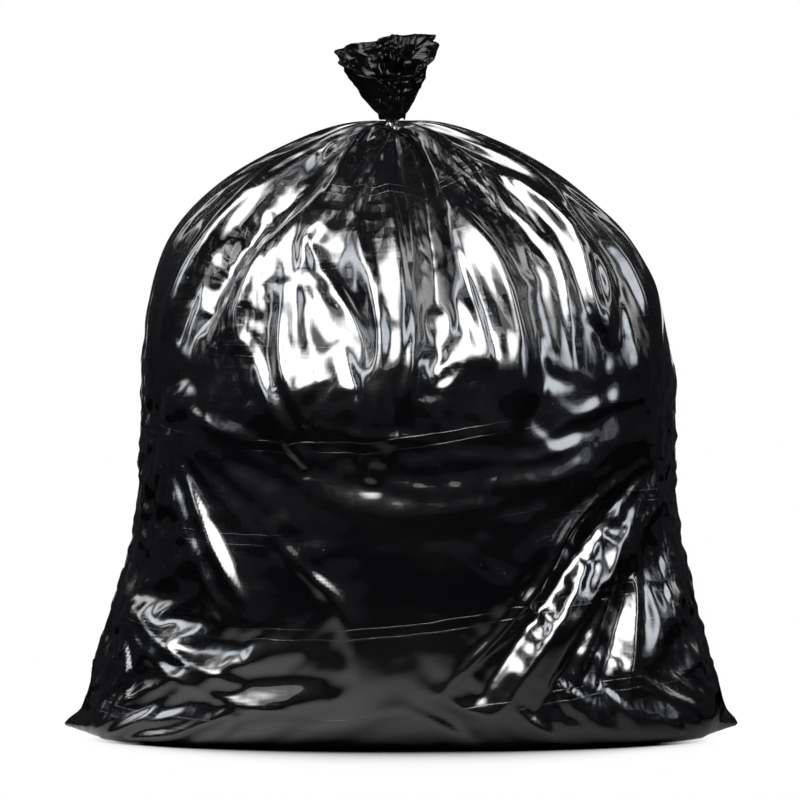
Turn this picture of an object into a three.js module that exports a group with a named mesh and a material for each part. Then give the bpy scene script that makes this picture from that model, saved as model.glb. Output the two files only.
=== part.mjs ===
// A full bin bag of black film, standing on its flat base and tied shut at the neck.
// Millimetres, +Z up, front towards -Y. The finished group is centred on its own bounding box.
import * as THREE from "three";

// The full body, from the floor to the shoulders, and across the bottom corners.
const BODY_WIDTH = 680;
const BODY_DEPTH = 385;
const BODY_HEIGHT = 612;

// The tie, a narrow band pulled tight round the neck.
const TIE_HEIGHT = 4;
const TIE_THICKNESS = 1.6;
const TIE_CLEARANCE = 0.3;
const TIE_CHAMFER = 0.25; // as a share of its thickness
const TIE_SIDES = 32;

// The neck, where the tie grips the gathered film.
const NECK_RADIUS = 6;
const NECK_OFFSET = -8; // the neck stands a little left of the middle of the bag
const NECK_MARGIN = 1.2; // bare neck above and below the tie
const NECK_LENGTH = TIE_HEIGHT + 2 * NECK_MARGIN;

// The tuft, which is the bag's own mouth spreading above the tie.
const TUFT_FOLDS = 11;
const TUFT_FOLD_DEPTH = 5;
const TUFT_FOLD_DRIFT = 1.7; // radians by which the folds crowd together and draw apart again
const TUFT_FLARE = 0.8; // below 1 the tuft spreads early, near its foot
const TUFT_WALL = 1.8;
const TUFT_FOOT_WALL = 6; // from the collar's inside to the outside of the tuft's foot
const TUFT_FOOT_RISE = 1.5;
const TUFT_COLLAR_GAP = 2; // clear space between the tie and the film that droops round it
const TUFT_COLLAR_THICKNESS = 2.4;
const TUFT_CUP_SHARE = 0.35; // how far up the tuft the floor of its open cup lies
const TUFT_ROWS = 6;
const CUP_ROWS = 3;

// The mesh.
const COLUMNS = 112;
const ROW_SPACING = 27;

// How the folds rise and fade.
const GATHER_START = 34; // a gather fades in over this distance from the neck
const GATHER_FADE = 1.2; // and fades out this sharply towards its far end
const FOLD_SHARPNESS = 1.4; // above 1 a pull fold has a sharp crest and wide feet
const FOLD_END = 0.08; // how far into its swell a pull fold starts and ends
const FOLD_FLOOR = 0.5; // no fold presses a point below this share of its own height

// Level sections of the bag, from the floor to the shoulders, as shares of the body's height, width
// and depth. edge pinches the two sides towards a point above 1 and squares them off below 1, and
// ear is how far the empty bottom corner stands out on each side.
const SECTIONS = [
  { height: 0, left: -0.446, right: 0.446, front: -0.39, back: 0.37, edge: 0.62, ear: 0.01 },
  { height: 0.004, left: -0.458, right: 0.46, front: -0.412, back: 0.39, edge: 0.63, ear: 0.026 },
  { height: 0.009, left: -0.463, right: 0.465, front: -0.425, back: 0.402, edge: 0.65, ear: 0.037 },
  { height: 0.019, left: -0.466, right: 0.472, front: -0.437, back: 0.414, edge: 0.69, ear: 0.026 },
  { height: 0.035, left: -0.466, right: 0.477, front: -0.448, back: 0.424, edge: 0.75, ear: 0.006 },
  { height: 0.065, left: -0.462, right: 0.475, front: -0.459, back: 0.434, edge: 0.86, ear: 0 },
  { height: 0.12, left: -0.45, right: 0.461, front: -0.47, back: 0.447, edge: 0.98, ear: 0 },
  { height: 0.2, left: -0.427, right: 0.44, front: -0.483, back: 0.462, edge: 1.08, ear: 0 },
  { height: 0.27, left: -0.409, right: 0.424, front: -0.491, back: 0.473, edge: 1.12, ear: 0 },
  { height: 0.35, left: -0.391, right: 0.41, front: -0.498, back: 0.483, edge: 1.12, ear: 0 },
  { height: 0.43, left: -0.385, right: 0.406, front: -0.502, back: 0.49, edge: 1.08, ear: 0 },
  { height: 0.51, left: -0.385, right: 0.403, front: -0.506, back: 0.492, edge: 1.04, ear: 0 },
  { height: 0.59, left: -0.381, right: 0.403, front: -0.5, back: 0.486, edge: 1, ear: 0 },
  { height: 0.66, left: -0.376, right: 0.39, front: -0.481, back: 0.465, edge: 1, ear: 0 },
  { height: 0.735, left: -0.366, right: 0.372, front: -0.447, back: 0.431, edge: 1, ear: 0 },
  { height: 0.8, left: -0.344, right: 0.337, front: -0.4, back: 0.387, edge: 1, ear: 0 },
  { height: 0.85, left: -0.31, right: 0.294, front: -0.343, back: 0.335, edge: 1, ear: 0 },
  { height: 0.893, left: -0.265, right: 0.25, front: -0.281, back: 0.278, edge: 1, ear: 0 },
  { height: 0.929, left: -0.209, right: 0.199, front: -0.218, back: 0.218, edge: 1, ear: 0 },
  { height: 0.956, left: -0.157, right: 0.145, front: -0.158, back: 0.158, edge: 1, ear: 0 },
  { height: 0.978, left: -0.1, right: 0.088, front: -0.1, back: 0.104, edge: 1, ear: 0 },
  { height: 0.99, left: -0.058, right: 0.038, front: -0.058, back: 0.06, edge: 1, ear: 0 },
  { height: 0.9965, left: -0.03, right: 0.008, front: -0.034, back: 0.034, edge: 1, ear: 0 },
];
const EAR_SPREAD = 15; // degrees of bearing on each side that an ear takes up
const EAR_PINCH = 0.85; // how nearly the ear's two layers of film meet

// Gathers that run down from the neck. bearing is in degrees, anticlockwise from the right-hand
// side, so 270 is the front. depth is negative in a valley, and reach is measured down the film.
const GATHERS = [
  { bearing: 8, width: 12, depth: 12, reach: 320 },
  { bearing: 27, width: 11, depth: -14, reach: 340 },
  { bearing: 46, width: 13, depth: 13, reach: 400 },
  { bearing: 68, width: 12, depth: -17, reach: 440 },
  { bearing: 90, width: 14, depth: 12, reach: 360 },
  { bearing: 113, width: 12, depth: -16, reach: 420 },
  { bearing: 134, width: 12, depth: 13, reach: 340 },
  { bearing: 156, width: 12, depth: -13, reach: 370 },
  { bearing: 178, width: 13, depth: 12, reach: 330 },
  { bearing: 199, width: 11, depth: -12, reach: 330 },
  { bearing: 214, width: 9, depth: 13, reach: 330 },
  { bearing: 229, width: 9, depth: -14, reach: 300 },
  { bearing: 244, width: 9, depth: 12, reach: 340 },
  { bearing: 258, width: 8, depth: -8, reach: 300 },
  { bearing: 270, width: 8, depth: 10, reach: 330 },
  { bearing: 283, width: 9, depth: -15, reach: 300 },
  { bearing: 297, width: 9, depth: 11, reach: 340 },
  { bearing: 311, width: 9, depth: -12, reach: 330 },
  { bearing: 324, width: 9, depth: 11, reach: 340 },
  { bearing: 337, width: 9, depth: -11, reach: 330 },
  { bearing: 350, width: 9, depth: 9, reach: 330 },
];

// Pull folds across the film, on the front and on the back. Each path holds [across, height] points,
// seen from the front, as shares of the body's width and height.
const FRONT_FOLDS = [
  {
    width: 30,
    depth: -19,
    path: [[-0.09, 0.96], [-0.15, 0.9], [-0.2, 0.85], [-0.25, 0.79], [-0.275, 0.73], [-0.29, 0.66]],
  },
  { width: 28, depth: 11, path: [[-0.16, 0.93], [-0.24, 0.86], [-0.3, 0.76], [-0.33, 0.66]] },
  { width: 26, depth: 12, path: [[-0.15, 0.87], [-0.21, 0.79], [-0.235, 0.71], [-0.245, 0.6]] },
  { width: 26, depth: -12, path: [[-0.14, 0.83], [-0.12, 0.76], [-0.08, 0.7], [-0.05, 0.64]] },
  { width: 34, depth: 10, path: [[-0.07, 0.92], [-0.07, 0.82], [-0.03, 0.72], [-0.03, 0.6], [-0.04, 0.49]] },
  { width: 27, depth: -21, path: [[0, 0.96], [0.035, 0.9], [0.05, 0.81], [0.055, 0.7], [0.05, 0.6]] },
  { width: 26, depth: 13, path: [[0.04, 0.89], [0.1, 0.82], [0.145, 0.74], [0.165, 0.65], [0.17, 0.57]] },
  { width: 24, depth: -9, path: [[0.12, 0.89], [0.18, 0.82], [0.205, 0.72], [0.215, 0.62]] },
  { width: 28, depth: 11, path: [[0.09, 0.96], [0.2, 0.88], [0.26, 0.79], [0.29, 0.66]] },
  { width: 28, depth: 9, path: [[0.18, 0.94], [0.3, 0.84], [0.35, 0.73], [0.37, 0.62]] },
  { width: 24, depth: 10, path: [[-0.2, 0.61], [-0.175, 0.54], [-0.15, 0.47]] },
  { width: 40, depth: 9, path: [[-0.2, 0.56], [-0.08, 0.58], [0.06, 0.62], [0.2, 0.64]] },
  { width: 42, depth: -4, path: [[-0.17, 0.48], [-0.03, 0.44], [0.12, 0.44], [0.26, 0.49]] },
  { width: 30, depth: 6, path: [[0.36, 0.53], [0.24, 0.44], [0.1, 0.4], [-0.06, 0.39]] },
  { width: 32, depth: -12, path: [[0.37, 0.44], [0.26, 0.31], [0.15, 0.17], [0.08, 0.04]] },
  { width: 28, depth: 11, path: [[0.38, 0.41], [0.31, 0.3], [0.22, 0.17], [0.14, 0.07]] },
  { width: 26, depth: -10, path: [[0.39, 0.36], [0.34, 0.26], [0.27, 0.14], [0.2, 0.06]] },
  { width: 24, depth: 10, path: [[0.42, 0.28], [0.38, 0.18], [0.32, 0.09]] },
  { width: 28, depth: 12, path: [[-0.43, 0.24], [-0.33, 0.14], [-0.21, 0.08], [-0.08, 0.05]] },
  { width: 28, depth: -11, path: [[-0.42, 0.31], [-0.31, 0.19], [-0.21, 0.13], [-0.1, 0.1]] },
  { width: 26, depth: 9, path: [[-0.37, 0.47], [-0.32, 0.38], [-0.27, 0.28], [-0.23, 0.2]] },
  { width: 30, depth: 8, path: [[-0.21, 0.38], [-0.1, 0.27], [-0.06, 0.17], [-0.05, 0.06]] },
];
const BACK_FOLDS = [
  { width: 34, depth: -12, path: [[-0.37, 0.49], [-0.25, 0.39], [-0.13, 0.21], [-0.05, 0.05]] },
  { width: 32, depth: 11, path: [[-0.38, 0.42], [-0.28, 0.29], [-0.18, 0.13], [-0.13, 0.05]] },
  { width: 36, depth: -11, path: [[-0.2, 0.54], [-0.06, 0.49], [0.09, 0.48], [0.24, 0.53]] },
  { width: 30, depth: 11, path: [[0.39, 0.49], [0.29, 0.38], [0.2, 0.21], [0.13, 0.06]] },
  { width: 30, depth: -11, path: [[0.4, 0.39], [0.33, 0.26], [0.26, 0.13]] },
  { width: 32, depth: 11, path: [[-0.13, 0.88], [-0.19, 0.77], [-0.22, 0.65], [-0.24, 0.57]] },
  { width: 30, depth: -12, path: [[0.09, 0.91], [0.15, 0.8], [0.18, 0.69], [0.19, 0.59]] },
  { width: 28, depth: 10, path: [[-0.43, 0.22], [-0.34, 0.13], [-0.22, 0.07]] },
];
const FACE_BLEND = 60; // a pull fold fades out over this depth as the film turns the corner

// Corners of the open mouth, as the tuft spreads from the neck: bearing, spread and rise.
const MOUTH = [
  { bearing: 0, spread: 43, rise: 74 },
  { bearing: 25, spread: 44, rise: 80 },
  { bearing: 60, spread: 36, rise: 80 },
  { bearing: 95, spread: 30, rise: 82 },
  { bearing: 130, spread: 36, rise: 74 },
  { bearing: 160, spread: 52, rise: 66 },
  { bearing: 180, spread: 56, rise: 58 },
  { bearing: 205, spread: 46, rise: 48 },
  { bearing: 240, spread: 34, rise: 38 },
  { bearing: 275, spread: 30, rise: 35 },
  { bearing: 310, spread: 34, rise: 42 },
  { bearing: 340, spread: 42, rise: 60 },
];

const NECK_TOP = BODY_HEIGHT + NECK_LENGTH;
const COLLAR_RADIUS = NECK_RADIUS + TIE_CLEARANCE + TIE_THICKNESS + TUFT_COLLAR_GAP;

// A level section at its real size.
const fullSize = (section) => ({
  height: section.height * BODY_HEIGHT,
  left: section.left * BODY_WIDTH,
  right: section.right * BODY_WIDTH,
  front: section.front * BODY_DEPTH,
  back: section.back * BODY_DEPTH,
  edge: section.edge,
  ear: section.ear * BODY_WIDTH,
});

// The round section of the neck.
const neckRing = (height) => ({
  height,
  left: NECK_OFFSET - NECK_RADIUS,
  right: NECK_OFFSET + NECK_RADIUS,
  front: -NECK_RADIUS,
  back: NECK_RADIUS,
  edge: 1,
  ear: 0,
});

// Slope of a smooth curve through unevenly spaced values, at value i.
function slopeAt(places, values, i) {
  const before = Math.max(i - 1, 0);
  const after = Math.min(i + 1, values.length - 1);
  return (values[after] - values[before]) / (places[after] - places[before]);
}

// A smooth curve through unevenly spaced values, read at place.
function smoothCurve(places, values, place) {
  let i = 0;
  while (i < places.length - 2 && places[i + 1] < place) i += 1;
  const span = places[i + 1] - places[i];
  const t = THREE.MathUtils.clamp((place - places[i]) / span, 0, 1);
  const startSlope = slopeAt(places, values, i) * span;
  const endSlope = slopeAt(places, values, i + 1) * span;
  const square = t * t;
  const cube = square * t;
  return (
    (2 * cube - 3 * square + 1) * values[i] +
    (cube - 2 * square + t) * startSlope +
    (3 * square - 2 * cube) * values[i + 1] +
    (cube - square) * endSlope
  );
}

// Length along the right-hand outline from the floor to each section.
function lengthsUp(sections) {
  const lengths = [0];
  for (let i = 1; i < sections.length; i += 1) {
    const across = sections[i].right - sections[i - 1].right;
    const up = sections[i].height - sections[i - 1].height;
    lengths.push(lengths[i - 1] + Math.hypot(across, up));
  }
  return lengths;
}

// One point of the smooth body before its folds. turn is the bearing in radians.
function bodyPoint(section, turn) {
  const middle = (section.left + section.right) / 2;
  const halfWidth = (section.right - section.left) / 2;
  const depth = Math.sin(turn) < 0 ? -section.front : section.back;
  const reach = Math.sign(Math.sin(turn)) * Math.abs(Math.sin(turn)) ** section.edge;
  const offSide = THREE.MathUtils.radToDeg(Math.asin(Math.abs(Math.sin(turn))));
  const inEar = section.ear > 0 ? Math.max(0, 1 - offSide / EAR_SPREAD) : 0;
  return new THREE.Vector3(
    middle + halfWidth * Math.cos(turn) + Math.sign(Math.cos(turn)) * section.ear * inEar,
    depth * reach * (1 - EAR_PINCH * inEar),
    section.height,
  );
}

// Distance from a point to a path in the front view, with how far along the path it lies.
function alongPath(path, across, height) {
  let nearest = { distance: Infinity, share: 0 };
  const size = new THREE.Vector2(BODY_WIDTH, BODY_HEIGHT);
  const point = new THREE.Vector2(across, height);
  for (let i = 0; i < path.length - 1; i += 1) {
    const start = new THREE.Vector2(...path[i]).multiply(size);
    const step = new THREE.Vector2(...path[i + 1]).multiply(size).sub(start);
    const t = THREE.MathUtils.clamp(point.clone().sub(start).dot(step) / step.lengthSq(), 0, 1);
    const distance = point.distanceTo(start.addScaledVector(step, t));
    if (distance < nearest.distance) {
      nearest = { distance, share: (i + t) / (path.length - 1) };
    }
  }
  return nearest;
}

// Height of a pull fold's crease at a point of the body.
function pullFoldHeight(fold, point) {
  const near = alongPath(fold.path, point.x, point.z);
  if (near.distance > fold.width) return 0;
  const fade = THREE.MathUtils.smoothstep(Math.abs(point.y), 0, FACE_BLEND);
  const taper = Math.sin(Math.PI * THREE.MathUtils.lerp(FOLD_END, 1 - FOLD_END, near.share));
  return fold.depth * fade * taper * (1 - near.distance / fold.width) ** FOLD_SHARPNESS;
}

// Height of the gathers at a bearing, down the film from the neck.
function gatherHeight(bearing, fromNeck) {
  let height = 0;
  for (const gather of GATHERS) {
    if (fromNeck > gather.reach) continue;
    const apart = Math.abs(((bearing - gather.bearing + 540) % 360) - 180);
    if (apart > gather.width) continue;
    const fadeIn = THREE.MathUtils.smoothstep(fromNeck, 0, GATHER_START);
    const fadeOut = (1 - fromNeck / gather.reach) ** GATHER_FADE;
    height += gather.depth * fadeIn * fadeOut * (1 - apart / gather.width);
  }
  return height;
}

// Rings of points for the body, from the floor to the neck, with the folds pressed in.
function bodyRings() {
  const sections = [...SECTIONS.map(fullSize), neckRing(BODY_HEIGHT), neckRing(NECK_TOP)];
  const places = lengthsUp(sections);
  const neckPlace = places[places.length - 2];
  const keys = Object.keys(SECTIONS[0]);
  const rows = [];
  for (let i = 0; i < sections.length - 1; i += 1) {
    const steps = Math.max(1, Math.round((places[i + 1] - places[i]) / ROW_SPACING));
    for (let k = 0; k < steps; k += 1) {
      rows.push(THREE.MathUtils.lerp(places[i], places[i + 1], k / steps));
    }
  }
  rows.push(places[places.length - 1]);
  const smooth = rows.map((place) => {
    const section = {};
    for (const key of keys) {
      section[key] = smoothCurve(places, sections.map((s) => s[key]), place);
    }
    const ring = [];
    for (let i = 0; i < COLUMNS; i += 1) ring.push(bodyPoint(section, (2 * Math.PI * i) / COLUMNS));
    return ring;
  });
  return smooth.map((ring, row) =>
    ring.map((point, i) => {
      if (row === 0 || rows[row] >= neckPlace) return point;
      const around = ring[(i + 1) % COLUMNS].clone().sub(ring[(i + COLUMNS - 1) % COLUMNS]);
      const up = smooth[row + 1][i].clone().sub(smooth[row - 1][i]);
      const outward = around.cross(up).normalize();
      let height = gatherHeight((360 * i) / COLUMNS, neckPlace - rows[row]);
      for (const fold of point.y < 0 ? FRONT_FOLDS : BACK_FOLDS) {
        height += pullFoldHeight(fold, point);
      }
      const moved = point.clone().addScaledVector(outward, height);
      moved.z = Math.max(moved.z, FOLD_FLOOR * point.z);
      return moved;
    }),
  );
}

// The mouth's edge at a bearing in degrees: how far it spreads from the neck and how far it rises.
function mouthAt(bearing) {
  const closed = [...MOUTH, { ...MOUTH[0], bearing: 360 }];
  const places = closed.map((corner) => corner.bearing);
  return {
    spread: smoothCurve(places, closed.map((corner) => corner.spread), bearing),
    rise: smoothCurve(places, closed.map((corner) => corner.rise), bearing),
  };
}

// One ring of the tuft. share runs from 0 at its foot to 1 at the mouth, and inset moves inwards.
function tuftRing(share, inset) {
  const ring = [];
  for (let i = 0; i < COLUMNS; i += 1) {
    const bearing = (360 * i) / COLUMNS;
    const turn = THREE.MathUtils.degToRad(bearing);
    const mouth = mouthAt(bearing);
    const foot = COLLAR_RADIUS + TUFT_FOOT_WALL;
    const spread = THREE.MathUtils.lerp(foot, mouth.spread, share ** TUFT_FLARE);
    const rise = THREE.MathUtils.lerp(TUFT_FOOT_RISE, mouth.rise, share);
    const wave = Math.cos(TUFT_FOLDS * turn + TUFT_FOLD_DRIFT * Math.sin(2 * turn));
    const radius = spread + TUFT_FOLD_DEPTH * share * wave - inset;
    ring.push(
      new THREE.Vector3(
        NECK_OFFSET + radius * Math.cos(turn),
        radius * Math.sin(turn),
        NECK_TOP + rise,
      ),
    );
  }
  return ring;
}

// A level ring round the neck.
function levelRing(radius, height) {
  const ring = [];
  for (let i = 0; i < COLUMNS; i += 1) {
    const turn = (2 * Math.PI * i) / COLUMNS;
    ring.push(new THREE.Vector3(NECK_OFFSET + radius * Math.cos(turn), radius * Math.sin(turn), height));
  }
  return ring;
}

// The tuft's film droops over the tie as a short collar before it turns up.
function collarRings() {
  const half = TUFT_COLLAR_THICKNESS / 2;
  const hem = BODY_HEIGHT + NECK_MARGIN + TIE_HEIGHT / 2;
  return [
    levelRing(COLLAR_RADIUS, NECK_TOP + NECK_MARGIN / 2),
    levelRing(COLLAR_RADIUS, hem + half),
    levelRing(COLLAR_RADIUS + half, hem),
  ];
}

// Rings of points for the tuft: the collar, up the outside, over the mouth's edge and into the cup.
function tuftRings() {
  const rings = collarRings();
  for (let i = 0; i <= TUFT_ROWS; i += 1) rings.push(tuftRing(i / TUFT_ROWS, 0));
  for (let i = 0; i <= CUP_ROWS; i += 1) {
    rings.push(tuftRing(THREE.MathUtils.lerp(1, TUFT_CUP_SHARE, i / CUP_ROWS), TUFT_WALL));
  }
  return rings;
}

// A closed surface over rings of points, with a flat cap at each end.
function skin(rings) {
  const points = rings.flat();
  const faces = [];
  for (let row = 0; row < rings.length - 1; row += 1) {
    for (let i = 0; i < COLUMNS; i += 1) {
      const a = row * COLUMNS + i;
      const b = row * COLUMNS + ((i + 1) % COLUMNS);
      faces.push(a, b, b + COLUMNS, a, b + COLUMNS, a + COLUMNS);
    }
  }
  const centreOf = (ring) =>
    ring.reduce((sum, p) => sum.add(p), new THREE.Vector3()).divideScalar(ring.length);
  const bottom = points.push(centreOf(rings[0])) - 1;
  const top = points.push(centreOf(rings[rings.length - 1])) - 1;
  const last = (rings.length - 1) * COLUMNS;
  for (let i = 0; i < COLUMNS; i += 1) {
    const next = (i + 1) % COLUMNS;
    faces.push(bottom, next, i, top, last + i, last + next);
  }
  const geometry = new THREE.BufferGeometry().setFromPoints(points);
  geometry.setIndex(faces);
  geometry.computeVertexNormals();
  return geometry;
}

// The bag and what fills it, as one sealed body.
function makeBag() {
  const film = new THREE.MeshStandardMaterial({ color: 0x0b0b0d, roughness: 0.14, metalness: 0 });
  const bag = new THREE.Mesh(skin([...bodyRings(), ...tuftRings()]), film);
  bag.name = "bag";
  return bag;
}

// The band that holds the neck shut, centred on the neck's straight stretch.
function makeTie() {
  const inside = NECK_RADIUS + TIE_CLEARANCE;
  const outside = inside + TIE_THICKNESS;
  const half = TIE_HEIGHT / 2;
  const chamfer = TIE_CHAMFER * TIE_THICKNESS;
  const section = [
    [inside, -half],
    [outside - chamfer, -half],
    [outside, chamfer - half],
    [outside, half - chamfer],
    [outside - chamfer, half],
    [inside, half],
    [inside, -half],
  ].map((corner) => new THREE.Vector2(...corner));
  const band = new THREE.MeshStandardMaterial({ color: 0x101012, roughness: 0.4, metalness: 0 });
  const tie = new THREE.Mesh(new THREE.LatheGeometry(section, TIE_SIDES), band);
  tie.name = "neck_tie";
  tie.rotation.x = Math.PI / 2;
  tie.position.set(NECK_OFFSET, 0, BODY_HEIGHT + NECK_LENGTH / 2);
  return tie;
}

const binBag = new THREE.Group();
binBag.add(makeBag(), makeTie());
const middle = new THREE.Box3().setFromObject(binBag).getCenter(new THREE.Vector3());
binBag.position.set(-middle.x, -middle.y, 0);

export default binBag;
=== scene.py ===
# A full bin bag of glossy black film, tied at the neck, on a plain white studio floor.
import math

import bpy
import numpy as np
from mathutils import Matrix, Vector
from mathutils.bvhtree import BVHTree


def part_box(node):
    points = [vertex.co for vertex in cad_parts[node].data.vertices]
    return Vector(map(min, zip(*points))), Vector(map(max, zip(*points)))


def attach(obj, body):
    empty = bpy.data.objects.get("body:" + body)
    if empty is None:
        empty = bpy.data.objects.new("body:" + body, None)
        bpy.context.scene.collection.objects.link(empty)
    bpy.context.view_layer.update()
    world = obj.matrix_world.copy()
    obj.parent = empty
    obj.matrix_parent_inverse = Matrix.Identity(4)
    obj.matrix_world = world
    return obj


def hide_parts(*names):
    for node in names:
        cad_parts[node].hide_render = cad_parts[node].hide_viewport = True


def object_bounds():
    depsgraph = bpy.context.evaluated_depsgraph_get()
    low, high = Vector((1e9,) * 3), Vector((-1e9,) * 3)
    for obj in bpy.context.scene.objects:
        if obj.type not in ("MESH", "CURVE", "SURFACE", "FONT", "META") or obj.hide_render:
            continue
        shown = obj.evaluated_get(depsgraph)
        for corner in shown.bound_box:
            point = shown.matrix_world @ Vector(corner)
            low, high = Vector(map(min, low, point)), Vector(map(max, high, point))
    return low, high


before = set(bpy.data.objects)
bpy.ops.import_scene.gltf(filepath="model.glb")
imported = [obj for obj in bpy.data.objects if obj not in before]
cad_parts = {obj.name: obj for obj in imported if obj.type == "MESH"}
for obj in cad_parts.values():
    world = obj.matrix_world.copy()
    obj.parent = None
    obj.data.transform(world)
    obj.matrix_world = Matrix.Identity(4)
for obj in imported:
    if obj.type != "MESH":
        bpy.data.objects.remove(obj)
CAD_LOW, CAD_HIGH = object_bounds()
SEED = 11

# The film of the body: its grid from the floor to the neck, and the flat sack it was made as.
COLUMNS = 440
ROWS = 222
FLAT_WIDTH = 0.752
FILM_CELL = 2 * FLAT_WIDTH / COLUMNS

# The contents under the film: how smooth they are, and how far it may lie below and above them,
# with more room at the shoulders, from a share of the height to the neck up.
CORE_BLUR = 0.03
LEAST_PROUD = -0.004
MOST_PROUD = 0.02
SHOULDER_ROOM = 0.02
SHOULDER_START = 0.55
SHOULDER_RISE = 0.25

# How the film settles over the contents: how slack it is, the steps it takes, how hard its own
# length pulls it, how much of its speed it keeps, and how stiff it is.
START_BLUR = 0.004
SLACK_WIDE = 1.004
SLACK_TALL = 1.003
LENGTH_BLURS = ((5, 1), (4, 0))  # in cells, round the bag and up it
RELAX_STEPS = 40
PULL_ROUNDS = 2
STRAIGHT_PULL = 0.3
DIAGONAL_PULL = 0.22
LIFT_PULL = 0.5
SPEED_KEPT = 0.9
BEND_STIFFNESS = 0.005

# The settled film keeps the solid's form in folds wider than the blur, and gets sharp creases.
FORM_BLUR = 0.022
FORM_KEPT = 0.85
SETTLED_SHARE = 0.55  # of each crease, how much is there before the film settles
SHARP_SHARE = 0.55

# The low corners are pulled back to the solid, and the low side edges are crumpled.
EAR_ACROSS = (0.285, 0.31)
EAR_HEIGHTS = (0.03, 0.06)
EAR_KEPT = 0.9
EDGE_FACING = (0.7, 0.95)
EDGE_HEIGHTS = (0.3, 0.42)
EDGE_CRUMPLE = 0.0011
EDGE_CELLS = 1.2

# Gathers that fan out from the neck: how many, how steep, and how far down they reach. Each
# drifts aside and changes its size on its way down.
GATHER_LAYERS = ((9, 0.08, 0.62), (19, 0.25, 0.68), (37, 0.19, 0.5), (71, 0.1, 0.24), (140, 0.05, 0.1))
GATHER_STATIONS = 6
GATHER_DRIFT = 0.16
GATHER_SIZES = (0.35, 1.3)
GATHER_ENDS = (0.5, 1)
GATHER_START = 0.012

# Soft facets: how long, how steep, which way they run in degrees, mirrored left and right, and
# the heights between which they show.
FACET_WAVES = ((0.23, 0.03, 50, 0, 0.45), (0.16, 0.03, 62, 0, 0.4), (0.13, 0.03, 96, 0.12, 0.38),
               (0.094, 0.028, 40, 0, 0.3), (0.071, 0.024, 75, 0, 0.4), (0.052, 0.02, 52, 0, 0.3),
               (0.038, 0.014, 8, 0.1, 0.6), (0.029, 0.014, 60, 0, 0.34), (0.021, 0.012, 110, 0, 0.34))
FACET_BEND = 0.4
FACET_STRENGTH = 0.5
FACET_CHANGE = 0.9

# Fans of tension folds: the point they start from, seen from the front, the bearings between which
# they spread in degrees, how many, how far they reach and how steep they are.
FRONT_FANS = (
    ((0.25, 0.3), 188, 285, 17, 0.42, 0.13),
    ((-0.25, 0.33), 262, 345, 13, 0.36, 0.1),
    ((0.325, 0.012), 92, 178, 12, 0.3, 0.13),
    ((-0.325, 0.012), 2, 88, 12, 0.3, 0.13),
    ((0.235, 0.355), 150, 215, 8, 0.3, 0.07),
)
BACK_FANS = (
    ((0.24, 0.34), 190, 280, 14, 0.42, 0.12),
    ((-0.25, 0.3), 262, 350, 14, 0.4, 0.12),
    ((0.325, 0.012), 92, 178, 12, 0.3, 0.13),
    ((-0.325, 0.012), 2, 88, 12, 0.3, 0.13),
)
FAN_WOBBLE = 0.3
FAN_SIZES = (0.3, 1.2)
FAN_START = 0.02

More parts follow.
